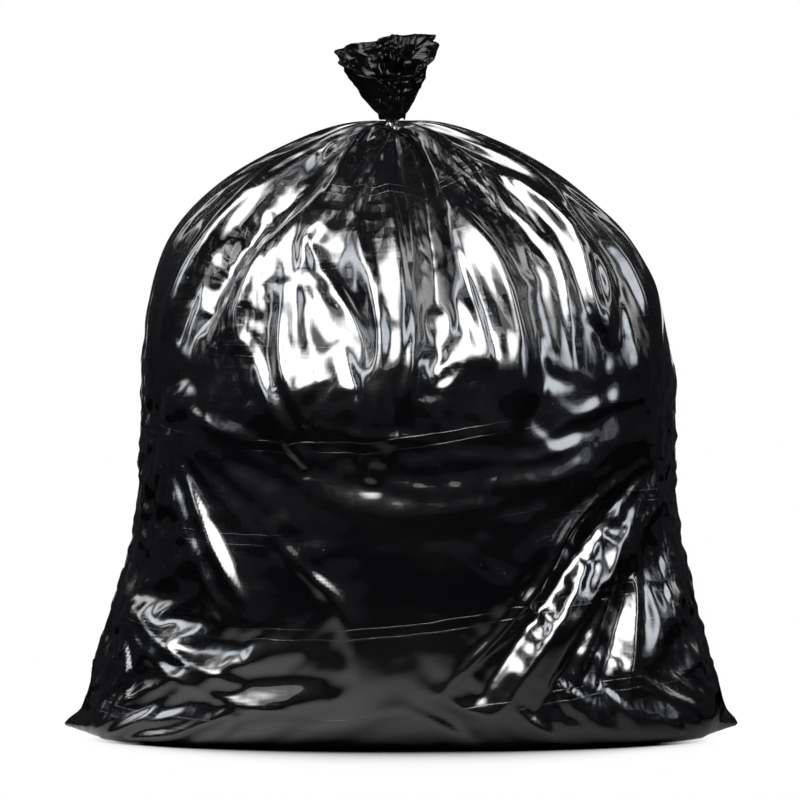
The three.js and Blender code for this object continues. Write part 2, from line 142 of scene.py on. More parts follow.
# Sharp folds on the front, each with its left and right flank, its height and its path, in
# millimetres: across from the middle and up from the floor. A valley's height is negative. The
# last number of some is their own sharpness, where less than one makes a flat top.
FRONT_CREASES = (
    # The valleys and ridges that leave the neck.
    (24, 20, -11, ((-10, 606), (-54, 580), (-95, 549), (-131, 516), (-163, 478), (-180, 440), (-190, 405))),
    (20, 20, -10, ((-6, 607), (8, 584), (26, 546), (32, 489), (35, 438), (36, 385))),
    (14, 7, 6, ((-27, 604), (-53, 580), (-63, 556), (-76, 530))),
    (8, 16, 6, ((-9, 604), (-23, 570), (-36, 548), (-48, 520))),
    (9, 13, 7, ((2, 606), (60, 582), (155, 525), (180, 480), (193, 412))),
    (12, 9, 7, ((12, 608), (118, 572), (212, 500), (246, 440), (252, 390))),
    (5, 5, 3, ((4, 604), (70, 560), (140, 500), (168, 440))),
    (5, 5, 3, ((10, 606), (92, 570), (176, 508), (206, 450))),
    (5, 5, 3, ((14, 608), (140, 566), (224, 490))),
    (8, 6, 4, ((-20, 606), (-90, 580), (-160, 530), (-200, 480), (-222, 420))),
    (6, 8, 3, ((-26, 606), (-120, 572), (-190, 500))),
    # Shards at the upper left.
    (14, 8, 6, ((-170, 520), (-208, 478), (-226, 430), (-236, 395))),
    (7, 12, -5, ((-160, 505), (-190, 470), (-206, 430), (-214, 395))),
    (24, 10, 10, ((-128, 522), (-150, 470), (-160, 420), (-153, 362))),
    (6, 8, -6, ((-122, 515), (-142, 470), (-152, 420), (-156, 365))),
    (10, 14, 8, ((-112, 455), (-118, 410), (-112, 370), (-97, 332))),
    (12, 12, 8, ((-150, 400), (-128, 350), (-112, 318), (-94, 282)), 0.6),
    (24, 22, 9, ((-20, 420), (-26, 350), (-27, 300), (-27, 276)), 0.5),
    (22, 22, 9, ((-112, 450), (-106, 400), (-100, 350), (-97, 318)), 0.5),
    (20, 22, 9, ((112, 450), (114, 400), (115, 350), (114, 325)), 0.5),
    # The bright middle, with the dark triangle inside it.
    (12, 20, 6, ((-47, 560), (-72, 520), (-92, 498), (-102, 440), (-98, 370))),
    (6, 22, -8, ((-90, 500), (-66, 460), (-48, 430), (-33, 398))),
    (12, 18, 8, ((-46, 545), (-40, 500), (-26, 450), (-20, 400), (-22, 372))),
    (12, 34, 9, ((-16, 566), (-6, 500), (4, 440), (0, 380)), 0.8),
    (34, 12, 8, ((-62, 572), (-86, 524), (-92, 484), (-84, 446)), 0.8),
    (8, 8, 6, ((8, 520), (14, 440), (12, 390), (2, 330))),
    (6, 12, -5, ((-58, 400), (-48, 370), (-40, 345))),
    # The diagonal band right of the middle.
    (12, 14, 7, ((46, 536), (66, 516), (90, 490), (105, 450), (116, 404))),
    (6, 6, 5, ((44, 510), (54, 482), (66, 454), (81, 404))),
    (5, 6, -4, ((50, 500), (70, 460), (86, 415), (96, 370))),
    (5, 4, 4, ((101, 556), (140, 512), (158, 470), (166, 420), (172, 370))),
    (14, 10, 7, ((158, 500), (178, 460), (196, 420), (205, 396))),
    (7, 7, 6, ((182, 498), (200, 470), (206, 430), (200, 398))),
    (10, 14, 6, ((204, 470), (222, 430), (236, 380), (244, 330))),
    # Sagging folds across the middle.
    (16, 12, -1.5, ((-106, 306), (-48, 278), (20, 268), (96, 278), (154, 298))),
    (13, 9, 1.2, ((-76, 292), (0, 254), (96, 258), (174, 282))),
    (30, 26, 3, ((-106, 294), (-20, 270), (73, 269), (165, 298))),
    (10, 8, 2.5, ((-96, 322), (-38, 307), (30, 306))),
    (8, 10, 1.8, ((48, 292), (116, 283), (192, 307))),
    (14, 12, 2.5, ((135, 306), (192, 336), (254, 345))),
    (10, 12, 3, ((-230, 345), (-190, 318), (-140, 302))),
    # Streaks and arcs at the lower left.
    (9, 13, 7, ((-213, 272), (-187, 210), (-158, 150))),
    (5, 7, 4, ((-197, 192), (-187, 160), (-176, 130))),
    (4, 4, 4, ((-250, 278), (-255, 220), (-262, 180))),
    (8, 6, 5, ((-283, 162), (-254, 114), (-211, 83), (-153, 63))),
    (7, 9, 3, ((-293, 143), (-264, 99), (-220, 66), (-153, 42), (-67, 32))),
    (6, 5, 5, ((-278, 133), (-269, 76), (-271, 37))),
    (11, 14, 2.5, ((-139, 230), (-96, 181), (-53, 143), (-43, 76))),
    (34, 26, 3.5, ((-200, 106), (-160, 86), (-110, 80), (-50, 80))),
    (26, 22, -3.5, ((-200, 54), (-160, 38), (-110, 34), (-50, 36))),
    # Fans at the lower right.
    (9, 9, 7, ((242, 276), (168, 230), (135, 153), (38, 57))),
    (9, 10, -6, ((236, 262), (174, 196), (124, 118), (70, 44))),
    (10, 8, 7, ((240, 262), (192, 210), (154, 124), (96, 38))),
    (9, 9, -6, ((244, 252), (210, 170), (170, 96), (130, 34))),
    (8, 9, 7, ((246, 252), (212, 191), (192, 114), (154, 28))),
    (8, 8, -6, ((250, 240), (226, 160), (205, 90), (186, 34))),
    (8, 8, 7, ((252, 244), (231, 191), (231, 114), (217, 24))),
    (7, 9, 6, ((256, 250), (269, 134), (292, 66))),
    (6, 6, -5, ((262, 200), (274, 130), (284, 80))),
    (5, 5, 5, ((269, 153), (290, 104), (302, 62))),
    (4, 4, 4, ((270, 62), (281, 70), (296, 76))),
)
CREASE_SHARPNESS = 1.25

# The lower middle of the film is drawn taut and has few folds of its own.
TAUT_MIDDLE = (-0.04, 0.17)
TAUT_SPREAD = (0.15, 0.11)
TAUT_SHARE = 0.75


def blur(values, spread, axis):
    """Smooths an array along one axis, round and round where axis is 1, by spread in cells."""
    reach = max(1, int(3 * spread))
    offsets = np.arange(-reach, reach + 1)
    weights = np.exp(-0.5 * (offsets / spread) ** 2)
    weights /= weights.sum()
    if axis == 1:
        return sum(w * np.roll(values, k, 1) for k, w in zip(offsets, weights))
    padded = np.pad(values, [(reach, reach)] + [(0, 0)] * (values.ndim - 1), mode="reflect",
                    reflect_type="odd")
    rows = values.shape[0]
    return sum(w * padded[reach + k:reach + k + rows] for k, w in zip(offsets, weights))


def along(points, axis):
    """Running length of each line of points along an axis, starting from nought."""
    steps = np.linalg.norm(np.diff(points, axis=axis), axis=-1)
    start = np.zeros_like(np.take(steps, [0], axis=axis))
    return np.concatenate([start, np.cumsum(steps, axis=axis)], axis=axis)


def respace(points, count):
    """One line of points, set out again at an even spacing."""
    place = along(points[None], 1)[0]
    wanted = np.linspace(0, place[-1], count)
    return np.stack([np.interp(wanted, place, points[:, k]) for k in range(3)], -1)


def smooth_step(values, low, high):
    """Nought below low, one above high, and a smooth rise between them."""
    share = np.clip((values - low) / (high - low), 0, 1)
    return share * share * (3 - 2 * share)


# The form under the film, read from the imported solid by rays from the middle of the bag.
tie_low, tie_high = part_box("neck_tie")
NECK = Vector(((tie_low.x + tie_high.x) / 2, (tie_low.y + tie_high.y) / 2, tie_low.z))
NECK_RADIUS = 0.006
NECK_MARGIN = 0.0012
NECK_START = tie_low.z - NECK_MARGIN
NECK_TOP = tie_high.z + NECK_MARGIN
NECK_ROWS = 3
SIDE_NARROWING = 0.8
DOME_START = 0.4
DOME_TOP_ANGLE = math.radians(85.5)
RAY_COLUMNS = 360
RAY_ROWS = 120
FLOOR_GAP = 0.0005
LOWEST_RAY = 0.0012
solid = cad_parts["bag"].data
SOLID_TREE = BVHTree.FromPolygons([v.co for v in solid.vertices],
                                  [p.vertices[:] for p in solid.polygons])


def solid_form():
    """Points on the bag's solid: rows from the floor to the neck, columns round it."""
    turns = np.arange(RAY_COLUMNS) * 2 * math.pi / RAY_COLUMNS
    dome_height = NECK_START - DOME_START
    half_width, half_depth = CAD_HIGH.x * SIDE_NARROWING, CAD_HIGH.y
    rows = []
    upright = RAY_ROWS // 2
    for row in range(upright):
        height = LOWEST_RAY + (DOME_START - LOWEST_RAY) * (row / upright) ** 1.3
        rows.append([(height, 0.0, turn) for turn in turns])
    for row in range(RAY_ROWS - upright):
        lift = DOME_TOP_ANGLE * (row / (RAY_ROWS - upright - 1)) ** 0.9
        rows.append([(DOME_START, lift, turn) for turn in turns])
    form = np.zeros((RAY_ROWS, RAY_COLUMNS, 3))
    for i, row in enumerate(rows):
        for j, (height, lift, turn) in enumerate(row):
            toward = Vector((half_width * math.cos(turn) * math.cos(lift),
                             half_depth * math.sin(turn) * math.cos(lift),
                             dome_height * math.sin(lift)))
            start = Vector((NECK.x, NECK.y, height))
            form[i, j] = SOLID_TREE.ray_cast(start, toward.normalized())[0]
    return form


def neck_ring(columns, radius, height):
    """A level ring round the neck."""
    turns = np.arange(columns) * 2 * math.pi / columns
    return np.stack([NECK.x + radius * np.cos(turns), NECK.y + radius * np.sin(turns),
                     np.full(columns, height)], -1)


def even_grid(form, columns, rows):
    """Sets the form out again with even rows, and even columns on each side of the two side edges."""
    ring = neck_ring(form.shape[1], NECK_RADIUS, NECK_START)
    form = np.concatenate([form, ring[None]])
    half = form.shape[1] // 2
    level = []
    for row in form:
        around = np.concatenate([row, row[:1]])
        right_to_left = respace(around[:half + 1], columns // 2 + 1)
        left_to_right = respace(around[half:], columns // 2 + 1)
        level.append(np.concatenate([right_to_left[:-1], left_to_right[:-1]]))
    level = np.array(level)
    place = along(level, 0).mean(1)
    wanted = np.linspace(0, place[-1], rows)
    flat = level.reshape(len(level), -1)
    spaced = np.stack([np.interp(wanted, place, flat[:, k]) for k in range(flat.shape[1])], -1)
    return spaced.reshape(rows, columns, 3)


def normals_of(grid):
    """Outward normals of a grid of points."""
    around = np.roll(grid, -1, 1) - np.roll(grid, 1, 1)
    upward = np.gradient(grid, axis=0)
    out = np.cross(around, upward)
    return out / np.maximum(np.linalg.norm(out, axis=-1, keepdims=True), 1e-9)


def smooth_noise(rng, shape, wide, tall=None):
    """Random numbers about nought, smoothed over so many cells each way, with a spread of one."""
    noise = blur(blur(rng.normal(size=shape), wide, 1), tall or wide, 0)
    return noise / noise.std()


def gathers(rng, from_neck, girth, columns):
    """How far the gathers stand out from the film, for each row and column."""
    height = np.zeros((len(from_neck), columns))
    place = np.arange(columns) / columns
    for count, steep, reach in GATHER_LAYERS:
        drift = np.cumsum(rng.normal(size=(GATHER_STATIONS, count)) * GATHER_DRIFT, axis=0)
        signs = np.where(np.arange(count) % 2, -1.0, 1.0)
        sizes = signs * rng.uniform(*GATHER_SIZES, (GATHER_STATIONS, count))
        ends = rng.uniform(*GATHER_ENDS, count)
        for row, far in enumerate(from_neck):
            share = min(far / reach, 1)
            at = share * (GATHER_STATIONS - 1)
            low = min(int(at), GATHER_STATIONS - 2)
            part = at - low
            middles = (np.arange(count) + (1 - part) * drift[low] + part * drift[low + 1]) / count
            tops = (1 - part) * sizes[low] + part * sizes[low + 1]
            tops = tops * np.clip(1 - share / ends, 0, 1) ** 0.5
            order = np.argsort(middles % 1)
            shape = np.interp(place, (middles % 1)[order], tops[order], period=1)
            start = min(far / GATHER_START, 1)
            height[row] += 0.5 * start * steep * girth[row] / count * shape
    return height


def facets(rng, across, up):
    """How far the soft facets stand out: creased waves, each bent a little and strong in places."""
    height = np.zeros(across.shape)
    for length, steep, degrees, low, high in FACET_WAVES:
        turn = math.radians(degrees)
        cells = length / FILM_CELL
        bend = smooth_noise(rng, across.shape, 0.5 * cells)
        run = (np.abs(across) * math.cos(turn) + up * math.sin(turn)) / length
        run += FACET_BEND * bend
        strength = FACET_STRENGTH + FACET_CHANGE * smooth_noise(rng, across.shape, 0.7 * cells)
        strength = np.clip(strength, 0, 2)
        strength *= smooth_step(up, low - 0.05, low + 0.01) * (1 - smooth_step(up, high, high + 0.1))
        height += steep * length * strength * (np.abs(2 * (run % 1) - 1) - 0.5)
    return height


def fan(rng, across, up, node, first, last, count, reach, steep):
    """Tension folds that spread from one point: how far they stand out."""
    aside, above = across - node[0], up - node[1]
    far = np.hypot(aside, above)
    turn = np.degrees(np.arctan2(above, aside)) % 360
    crests = (np.arange(count + 1) + rng.uniform(-FAN_WOBBLE, FAN_WOBBLE, count + 1)) / count
    tops = np.where(np.arange(count + 1) % 2, -1.0, 1.0) * rng.uniform(*FAN_SIZES, count + 1)
    tops[0] = tops[-1] = 0
    bend = 0.5 / count * np.clip(far / 0.15, 0, 1) * smooth_noise(rng, across.shape, 22)
    shape = np.interp((turn - first) / (last - first) + bend, crests, tops, left=0, right=0)
    spacing = far * math.radians(last - first) / count
    ends = 1 + 0.25 * smooth_noise(rng, across.shape, 16)
    fade = np.clip(far / FAN_START, 0, 1) * np.clip(1.15 - far / (reach * np.clip(ends, 0.4, 2)), 0, 1)
    return 0.5 * steep * spacing * shape * fade


def rounded(path):
    """A path with its corners cut twice, so that it bends smoothly."""
    path = np.array(path, float) / 1000
    for _ in range(2):
        early = 0.75 * path[:-1] + 0.25 * path[1:]
        late = 0.25 * path[:-1] + 0.75 * path[1:]
        middle = np.stack([early, late], 1).reshape(-1, 2)
        path = np.concatenate([path[:1], middle[1:-1], path[-1:]])
    return path


def crease(across, up, left, right, height, path, sharpness=CREASE_SHARPNESS):
    """How far one sharp fold stands out: a crest along its path, and a flank on each side."""
    path = rounded(path)
    margin = max(left, right) / 1000
    low, high = path.min(0) - margin, path.max(0) + margin
    near = (across > low[0]) & (across < high[0]) & (up > low[1]) & (up < high[1])
    x, z = across[near], up[near]
    nearest, side, share = np.full(x.shape, 1.0), np.zeros(x.shape), np.zeros(x.shape)
    for i in range(len(path) - 1):
        (start_x, start_z), (run_x, run_z) = path[i], path[i + 1] - path[i]
        t = np.clip(((x - start_x) * run_x + (z - start_z) * run_z) / (run_x ** 2 + run_z ** 2), 0, 1)
        aside, above = x - start_x - t * run_x, z - start_z - t * run_z
        far = np.hypot(aside, above)
        closer = far < nearest
        nearest = np.where(closer, far, nearest)
        side = np.where(closer, run_x * above - run_z * aside, side)
        share = np.where(closer, (i + t) / (len(path) - 1), share)
    taper = np.sin(math.pi * (0.05 + 0.9 * share ** 1.6)) ** 0.7
    flank = np.where(side > 0, left, right) / 1000 * (0.35 + 0.65 * taper)
    raised = np.zeros(across.shape)
    raised[near] = height / 1000 * taper * np.clip(1 - nearest / flank, 0, 1) ** sharpness
    return raised


def front_creases(film, out):
    """How far the creases of the front stand out together."""
    face = smooth_step(-out[..., 1], 0.02, 0.25) * (film[..., 1] < NECK.y)
    return sum(face * crease(film[..., 0], film[..., 2], *one) for one in FRONT_CREASES)


def relief(rng, core, out, up, from_neck, girth):
    """How far all the folds together stand out from the film's even form."""
    across, high = core[..., 0], core[..., 2]
    proud = gathers(rng, from_neck, girth, core.shape[1])
    calm = smooth_step(from_neck, 0, 0.05) * smooth_step(up.mean(1), 0, 0.02)
    taut = np.exp(-((across - TAUT_MIDDLE[0]) / TAUT_SPREAD[0]) ** 2
                  - ((high - TAUT_MIDDLE[1]) / TAUT_SPREAD[1]) ** 2)
    loose = calm[:, None] * (1 - TAUT_SHARE * taut)
    proud += facets(rng, across, high) * loose
    for facing, fans in ((-out[..., 1], FRONT_FANS), (out[..., 1], BACK_FANS)):
        face = smooth_step(facing, 0.05, 0.35)
        for one in fans:
            proud += face * loose * fan(rng, across, high, *one)
    return proud + SETTLED_SHARE * front_creases(core, out)


def rest_lengths(film):
    """How long the film is between neighbours on the grid: across, up and both diagonals."""
    across = np.roll(film, -1, 1) - film
    wide = np.linalg.norm(across, axis=-1)
    upward = film[1:] - film[:-1]
    tall = np.linalg.norm(upward, axis=-1)
    lean = (across[:-1] * upward).sum(-1) / np.maximum(wide[:-1] * tall, 1e-12)
    wide, tall, lean = (blur(blur(a, *LENGTH_BLURS[0]), *LENGTH_BLURS[1]) for a in (wide, tall, lean))
    wide, tall = wide * SLACK_WIDE, tall * SLACK_TALL
    mean_wide = (wide[:-1] + wide[1:]) / 2
    plain, skew = mean_wide ** 2 + tall ** 2, 2 * mean_wide * tall * lean
    rising = np.sqrt(np.maximum(plain + skew, 1e-12))
    falling = np.sqrt(np.maximum(plain - skew, 1e-12))
    return [a.astype(np.float32) for a in (wide, tall, rising, falling)]


def pull(step, rest, share):
    """How far each end of a line of film moves to come back to its own length."""
    length = np.sqrt(np.einsum("ijk,ijk->ij", step, step)) + 1e-9
    return step * ((length - rest) / length * share)[..., None]


def relax(film, core, out, room, rest, steps):
    """Lets the film come to rest over the form under it, so that it creases as flat film does."""
    wide, tall, rising, falling = rest
    film, core, out = (a.astype(np.float32) for a in (film, core, out))
    low = (-room).astype(np.float32)
    ends = film[0].copy(), film[-1].copy()
    speed = np.zeros_like(film)
    for _ in range(steps):
        before = film.copy()
        film += speed * SPEED_KEPT
        for _ in range(PULL_ROUNDS):
            fix = pull(np.roll(film, -1, 1) - film, wide, STRAIGHT_PULL)
            film += fix - np.roll(fix, 1, 1)
            fix = pull(film[1:] - film[:-1], tall, STRAIGHT_PULL)
            film[:-1] += fix
            film[1:] -= fix
            fix = pull(np.roll(film[1:], -1, 1) - film[:-1], rising, DIAGONAL_PULL)
            film[:-1] += fix
            film[1:] -= np.roll(fix, 1, 1)
            fix = pull(film[1:] - np.roll(film[:-1], -1, 1), falling, DIAGONAL_PULL)
            film[:-1] += np.roll(fix, 1, 1)
            film[1:] -= fix
        round_bend = np.roll(film, 1, 1) + np.roll(film, -1, 1) - 2 * film
        film -= BEND_STIFFNESS * (np.roll(round_bend, 1, 1) + np.roll(round_bend, -1, 1) - 2 * round_bend)
        up_bend = film[:-2] + film[2:] - 2 * film[1:-1]
        film[2:-2] -= BEND_STIFFNESS * (up_bend[:-2] + up_bend[2:] - 2 * up_bend[1:-1])
        proud = np.einsum("ijk,ijk->ij", film - core, out)
        over = np.maximum(low - proud, 0) - LIFT_PULL * np.maximum(proud - MOST_PROUD, 0)
        film += out * over[..., None]
        film[0], film[-1] = ends
        np.maximum(film[..., 2], FLOOR_GAP, out=film[..., 2])
        speed = film - before
    return film.astype(float)


def settled_film():
    """The film of the bag, from the floor to the top of the neck."""
    rng = np.random.default_rng(SEED)
    start = even_grid(solid_form(), COLUMNS, ROWS - NECK_ROWS)
    core = blur(blur(start, CORE_BLUR / FILM_CELL, 1), CORE_BLUR / FILM_CELL, 0)
    film = blur(blur(start, START_BLUR / FILM_CELL, 1), START_BLUR / FILM_CELL, 0)
    film[0], film[-1] = start[0], start[-1]
    out = normals_of(core)
    up = along(core, 0)
    girth = np.linalg.norm(np.roll(core, -1, 1) - core, axis=-1).sum(1)
    from_neck = (up[-1] - up).mean(1)
    proud = relief(rng, core, out, up, from_neck, girth)
    film[1:-1] += (out * proud[..., None])[1:-1]
    height = core[..., 2] / NECK_START
    room = -LEAST_PROUD + SHOULDER_ROOM * np.clip((height - SHOULDER_START) / SHOULDER_RISE, 0, 1)
    room = np.maximum(room, -LEAST_PROUD - np.einsum("ijk,ijk->ij", start - core, out))
    steps = RELAX_STEPS // 1
    film = relax(film, core, out, room, rest_lengths(film), steps)
    strayed = np.einsum("ijk,ijk->ij", film - start, out) - SETTLED_SHARE * front_creases(core, out)
    strayed = blur(blur(strayed, FORM_BLUR / FILM_CELL, 1), FORM_BLUR / FILM_CELL, 0)
    moved = SHARP_SHARE * front_creases(film, out) - FORM_KEPT * strayed
    edge = smooth_step(np.abs(out[..., 0]), *EDGE_FACING)
    edge *= 1 - smooth_step(start[..., 2], *EDGE_HEIGHTS)
    moved += EDGE_CRUMPLE * edge * smooth_noise(rng, edge.shape, EDGE_CELLS)
    film[1:-1] += (out * moved[..., None])[1:-1]
    ear = smooth_step(np.abs(start[..., 0]), *EAR_ACROSS)
    ear *= 1 - smooth_step(start[..., 2], *EAR_HEIGHTS)
    film += EAR_KEPT * ear[..., None] * (start - film)
    np.maximum(film[..., 2], FLOOR_GAP, out=film[..., 2])
    heights = np.linspace(NECK_START, NECK_TOP, NECK_ROWS + 1)[1:]
    neck = [neck_ring(COLUMNS, NECK_RADIUS, height) for height in heights]
    return np.concatenate([film, np.array(neck)])


def grid_piece(name, grid, film_wide, film_up, cap_first=False, cap_last=False):
    """A mesh of quads over a grid that closes round, with each point's place on the flat film as UV."""
    rows, columns = grid.shape[:2]
    points = grid.reshape(-1, 3)
    here = np.arange(rows * columns).reshape(rows, columns)
    right = np.roll(here, -1, 1)
    quads = np.stack([here[:-1], right[:-1], right[1:], here[1:]], -1).reshape(-1, 4)
    faces = [tuple(int(k) for k in quad) for quad in quads]
    if cap_first:
        faces += [(len(points), (k + 1) % columns, k) for k in range(columns)]
        points = np.concatenate([points, grid[0].mean(0)[None]])
    if cap_last:
        last = (rows - 1) * columns
        faces += [(len(points), last + k, last + (k + 1) % columns) for k in range(columns)]
        points = np.concatenate([points, grid[-1].mean(0)[None]])
    mesh = bpy.data.meshes.new(name)
    mesh.from_pydata([tuple(p) for p in points], [], faces)
    place = mesh.uv_layers.new(name="film_place")
    wide = film_wide / columns
    i, j = np.divmod(np.arange((rows - 1) * columns), columns)
    low, high = film_up[i], film_up[i + 1]
    corners = np.stack([np.stack([j * wide, low], -1), np.stack([(j + 1) * wide, low], -1),
                        np.stack([(j + 1) * wide, high], -1), np.stack([j * wide, high], -1)], 1)
    values = np.zeros((len(mesh.loops), 2), np.float32)
    values[:corners.shape[0] * 4] = corners.reshape(-1, 2)
    place.data.foreach_set("uv", values.ravel())
    mesh.polygons.foreach_set("use_smooth", [True] * len(mesh.polygons))
    mesh.update()
    piece = bpy.data.objects.new(name, mesh)
    bpy.context.scene.collection.objects.link(piece)
    return piece


# The tuft above the tie: the open mouth of the same film, gathered and spread like a ruffle.
TUFT_COLUMNS = 384
SKIRT_ROWS = 5
WALL_ROWS = 40
RIM_ROWS = 3
CUP_ROWS = 22
SKIRT_RADIUS = 0.0128
SKIRT_DROP = 0.0042
FOOT_RADIUS = 0.0136
FOOT_RISE = 0.0008
WALL_FLARE = 0.8
RIM_THICKNESS = 0.0009
CUP_DEPTH = 0.66
LIP_SHARE = 0.86
LIP_CURL = 0.0035
# Ruffles: how many round the mouth, and how deep they are at the rim and at the foot.
RUFFLES = ((4, 0.003, 0), (9, 0.0033, 0.0003), (19, 0.0007, 0.0005), (43, 0.0001, 0.0003))
INNER_CRUMPLE = 0.0075
COARSE_CRUMPLE = 0.0016
FINE_CRUMPLE = 0.0005
# The mouth's edge is found by rays from above, set out at these steps from the neck.
RAY_START = 0.012
RAY_REACH = 0.078
RAY_STEP = 0.0008
RAY_ABOVE = 0.01
LEAST_RISE = 0.015
EDGE_BAND = 0.0012
EDGE_BLUR = 2.5


def mouth_edge():
    """The mouth's edge on the solid at each bearing: how far out it lies and how high."""
    spread, rise = np.zeros(TUFT_COLUMNS), np.zeros(TUFT_COLUMNS)
    for i in range(TUFT_COLUMNS):
        turn = 2 * math.pi * i / TUFT_COLUMNS
        hits = []
        for radius in np.arange(RAY_START, RAY_REACH, RAY_STEP):
            start = Vector((NECK.x + radius * math.cos(turn), NECK.y + radius * math.sin(turn),
                            CAD_HIGH.z + RAY_ABOVE))
            place = SOLID_TREE.ray_cast(start, Vector((0, 0, -1)))[0]
            if place is not None and place.z > NECK_TOP + LEAST_RISE:
                hits.append((place.z, radius))
        top = max(height for height, _ in hits)
        rise[i] = top - NECK_TOP
        spread[i] = max(radius for height, radius in hits if height > top - EDGE_BAND)
    return blur(spread[None], EDGE_BLUR, 1)[0], blur(rise[None], EDGE_BLUR, 1)[0]


def ruffled(rng, turns, share):
    """How far the ruffles stand out at each bearing, at a share of the way up the tuft."""
    height = np.zeros(turns.shape)
    for count, at_rim, at_foot in RUFFLES:
        lean = rng.uniform(0, 2 * math.pi, 3)
        run = count * turns + 0.9 * np.sin(2 * turns + lean[0])
        run = run + 1.3 * share * np.sin(3 * turns + lean[1])
        wave = 2 * np.arcsin(0.96 * np.sin(run + lean[2])) / math.pi
        height += (at_foot + (at_rim - at_foot) * share ** 1.3) * wave
    return height


def tuft_form():
    """The film of the tuft: up its outside from the hem over the tie, over the rim and into the cup."""
    rng = np.random.default_rng(SEED + 1)
    spread, rise = mouth_edge()
    turns = np.arange(TUFT_COLUMNS) * 2 * math.pi / TUFT_COLUMNS
    shares = np.concatenate([np.zeros(SKIRT_ROWS), np.linspace(0, 1, WALL_ROWS), np.ones(RIM_ROWS),
                             np.linspace(0.985, 1 - CUP_DEPTH, CUP_ROWS)])
    inner = smooth_noise(rng, (CUP_ROWS, TUFT_COLUMNS), 13, 2.2)
    inner = np.abs(np.clip(inner, -2, 2)) + 0.3 * np.abs(smooth_noise(rng, inner.shape, 5, 1))
    rows = []
    seeds = rng.integers(1 << 30)
    rim_start = SKIRT_ROWS + WALL_ROWS
    cup_start = rim_start + RIM_ROWS
    for row, share in enumerate(shares):
        radius = FOOT_RADIUS + (spread - FOOT_RADIUS) * share ** WALL_FLARE
        height = FOOT_RISE + (rise - FOOT_RISE) * share
        radius = radius + ruffled(np.random.default_rng(seeds), turns, share)
        lip = max(0, (share - LIP_SHARE) / (1 - LIP_SHARE))
        radius += LIP_CURL * lip ** 2 * 0.4
        height -= LIP_CURL * lip ** 2 * (0.5 + 0.5 * np.sin(3 * turns + 2.6))
        if rim_start <= row < cup_start:
            part = (row - rim_start + 1) / (RIM_ROWS + 1)
            radius -= RIM_THICKNESS * part
            height += 0.4 * RIM_THICKNESS * math.sin(math.pi * part)
        if row >= cup_start:
            deep = min(1, (1 - share) / 0.22)
            radius -= RIM_THICKNESS + INNER_CRUMPLE * deep * inner[row - cup_start]
        if row < SKIRT_ROWS:
            part = row / SKIRT_ROWS
            hem = SKIRT_DROP * (1 + 0.25 * np.sin(5 * turns + 1) + 0.15 * np.sin(11 * turns))
            height = FOOT_RISE - (1 - part) * (hem + FOOT_RISE)
            radius = SKIRT_RADIUS + (FOOT_RADIUS - SKIRT_RADIUS) * part
            radius = radius + ruffled(np.random.default_rng(seeds), turns, 0) * (1.2 - 0.2 * part)
        bearing = turns + 0.05 * share * np.sin(9 * turns + 1.7)
        rows.append(np.stack([NECK.x + radius * np.cos(bearing), NECK.y + radius * np.sin(bearing),
                              NECK_TOP + height], -1))
    film = np.array(rows)
    fine, coarse = (smooth_noise(rng, film.shape[:2], wide, tall) for wide, tall in ((4, 1), (13, 3)))
    crumple = COARSE_CRUMPLE * (0.8 - np.abs(coarse)) + FINE_CRUMPLE * (0.8 - np.abs(fine))
    crumple *= smooth_step(shares, 0.05, 0.5)[:, None]
    return film + normals_of(film) * crumple[..., None]


# Shader helpers and the node groups that the finishes share.
def feed(tree, socket, value):
    """Links a socket to another, or sets it to a plain value."""
    if isinstance(value, bpy.types.NodeSocket):
        tree.links.new(value, socket)
    else:
        socket.default_value = value


def sum_node(tree, operation, *values, clamp=False):
    """A maths node: its result."""
    node = tree.nodes.new("ShaderNodeMath")
    node.operation = operation
    node.use_clamp = clamp
    for socket, value in zip(node.inputs, values):
        feed(tree, socket, value)
    return node.outputs[0]


def all_nodes(tree, operation, *values):
    """Several values added or multiplied together: the result."""
    total = values[0]
    for value in values[1:]:
        total = sum_node(tree, operation, total, value)
    return total


def rise_between(tree, value, low, high, to_low=0.0, to_high=1.0):
    """A smooth rise from one level to another as a value goes from low to high."""
    node = tree.nodes.new("ShaderNodeMapRange")
    node.interpolation_type = "SMOOTHSTEP"
    for name, level in (("Value", value), ("From Min", low), ("From Max", high),
                        ("To Min", to_low), ("To Max", to_high)):
        feed(tree, node.inputs[name], level)
    return node.outputs["Result"]


def scaled(tree, place, across, up):
    """A place on the film, scaled across and up."""
    node = tree.nodes.new("ShaderNodeVectorMath")
    node.operation = "MULTIPLY"
    feed(tree, node.inputs[0], place)
    node.inputs[1].default_value = (across, up, 1)
    return node.outputs["Vector"]


def noise(tree, place, across, up, detail, roughness=0.5, distortion=0.0):
    """A noise texture, so many times finer than a metre across the film and up it: its value."""
    node = tree.nodes.new("ShaderNodeTexNoise")
    feed(tree, node.inputs["Vector"], scaled(tree, place, across, up))
    node.inputs["Scale"].default_value = 1
    node.inputs["Detail"].default_value = detail
    node.inputs["Roughness"].default_value = roughness
    node.inputs["Distortion"].default_value = distortion
    return node.outputs["Fac"]


def new_group(name, inputs, outputs):
    """An empty node group with named sockets, and its input and output nodes."""
    group = bpy.data.node_groups.new(name, "ShaderNodeTree")
    for label, kind, value in inputs:
        socket = group.interface.new_socket(label, in_out="INPUT", socket_type=kind)
        if value is not None:
            socket.default_value = value
    for label, kind in outputs:
        group.interface.new_socket(label, in_out="OUTPUT", socket_type=kind)
    return group, group.nodes.new("NodeGroupInput").outputs, group.nodes.new("NodeGroupOutput").inputs


def put_group(tree, group, **values):
    """Places a node group in a material with its own values: its outputs."""
    node = tree.nodes.new("ShaderNodeGroup")
    node.node_tree = group
    for label, value in values.items():
        feed(tree, node.inputs[label.replace("_", " ").capitalize()], value)
    return node.outputs


